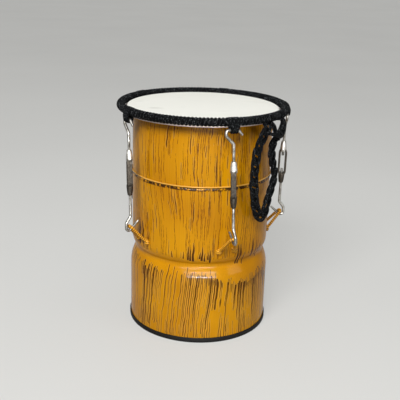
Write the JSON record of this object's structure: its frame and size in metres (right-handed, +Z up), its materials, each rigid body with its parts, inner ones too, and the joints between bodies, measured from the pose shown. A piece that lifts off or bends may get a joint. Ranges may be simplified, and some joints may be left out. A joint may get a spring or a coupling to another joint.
{
  "type": "hand drum",
  "caption": "Standing hand drum made from a steel gas cylinder, with a hooped head pulled down by turnbuckles and a hanging braided cord handle.",
  "frame": {"origin": "centre of the ring that the drum stands on, at the floor", "axes": "+Z up along the drum's axis; -Y faces the camera side, near the front turnbuckle"},
  "size_m": [0.3, 0.3008, 0.3962],
  "materials": {
    "grained_enamel": "glossy ochre enamel with dark brown grain streaks under a clear coat",
    "zinc_plate": "dull zinc plating, brighter on the worn noses",
    "black_cord": "matte braided cord",
    "bare_steel": "plain drawn rod, covered by the cord",
    "hoop_aluminium": "satin",
    "white_film": "coated drumhead film",
    "black_rubber": "matte extruded edge trim"
  },
  "bodies": {
    "shell": {"shell_top": "grained_enamel", "shell_middle": "grained_enamel", "girth_weld": "grained_enamel", "base_shell": "grained_enamel", "waist_weld": "grained_enamel", "base_edge_trim": "black_rubber", "anchor_1": "grained_enamel", "anchor_2": "grained_enamel", "anchor_3": "grained_enamel", "anchor_4": "grained_enamel", "anchor_5": "grained_enamel", "lower_hook_1": "zinc_plate", "lower_hook_2": "zinc_plate", "lower_hook_3": "zinc_plate", "lower_hook_4": "zinc_plate", "lower_hook_5": "zinc_plate"},
    "crown": {"drumhead": "white_film", "flesh_hoop": "hoop_aluminium", "crown_ring": "bare_steel", "crown_cord_1": "black_cord", "crown_cord_2": "black_cord", "crown_cord_3": "black_cord", "crown_cord_4": "black_cord", "crown_cord_5": "black_cord", "lug_1": "black_cord", "lug_2": "black_cord", "lug_3": "black_cord", "lug_4": "black_cord", "lug_5": "black_cord", "upper_hook_1": "zinc_plate", "upper_hook_2": "zinc_plate", "upper_hook_3": "zinc_plate", "upper_hook_4": "zinc_plate", "upper_hook_5": "zinc_plate"},
    "turnbuckle_1": {"turnbuckle_body_1": "zinc_plate"},
    "turnbuckle_2": {"turnbuckle_body_2": "zinc_plate"},
    "turnbuckle_3": {"turnbuckle_body_3": "zinc_plate"},
    "turnbuckle_4": {"turnbuckle_body_4": "zinc_plate"},
    "turnbuckle_5": {"turnbuckle_body_5": "zinc_plate"},
    "handle": {"handle_cord": "black_cord"}
  },
  "joints": [
    {"name": "crown_slide", "type": "slide", "parent": "shell", "child": "crown", "axis": [0, 0, 1], "range_m": [0, 0.00582]},
    {"name": "turnbuckle_1_spin", "type": "hinge", "parent": "shell", "child": "turnbuckle_1", "pos_m": [0.058, -0.13229, 0.2882], "axis": [-0.0382, -0.0168, 0.9991], "range_deg": [0, 1000]},
    {"name": "turnbuckle_2_spin", "type": "hinge", "parent": "shell", "child": "turnbuckle_2", "pos_m": [0.14248, 0.02378, 0.2882], "axis": [0.0069, -0.0411, 0.9991], "range_deg": [0, 1000]},
    {"name": "turnbuckle_3_spin", "type": "hinge", "parent": "shell", "child": "turnbuckle_3", "pos_m": [0.02763, 0.14178, 0.2882], "axis": [0.0409, -0.008, 0.9991], "range_deg": [0, 1000]},
    {"name": "turnbuckle_4_spin", "type": "hinge", "parent": "shell", "child": "turnbuckle_4", "pos_m": [-0.12313, 0.07553, 0.2882], "axis": [0.0218, 0.0356, 0.9991], "range_deg": [0, 1000]},
    {"name": "turnbuckle_5_spin", "type": "hinge", "parent": "shell", "child": "turnbuckle_5", "pos_m": [-0.11387, -0.08888, 0.2882], "axis": [-0.0257, 0.0329, 0.9991], "range_deg": [0, 1000]},
    {"name": "handle_swing", "type": "hinge", "parent": "crown", "child": "handle", "pos_m": [0.11593, -0.07938, 0.389], "axis": [-0.565, -0.8251, 0], "range_deg": [0, 110]}
  ],
  "couplings": [
    {"joint": "turnbuckle_1_spin", "follows": "crown_slide", "rad_per_m": 2968.4},
    {"joint": "turnbuckle_2_spin", "follows": "crown_slide", "rad_per_m": 2968.4},
    {"joint": "turnbuckle_3_spin", "follows": "crown_slide", "rad_per_m": 2968.4},
    {"joint": "turnbuckle_4_spin", "follows": "crown_slide", "rad_per_m": 2968.4},
    {"joint": "turnbuckle_5_spin", "follows": "crown_slide", "rad_per_m": 2968.4}
  ]
}
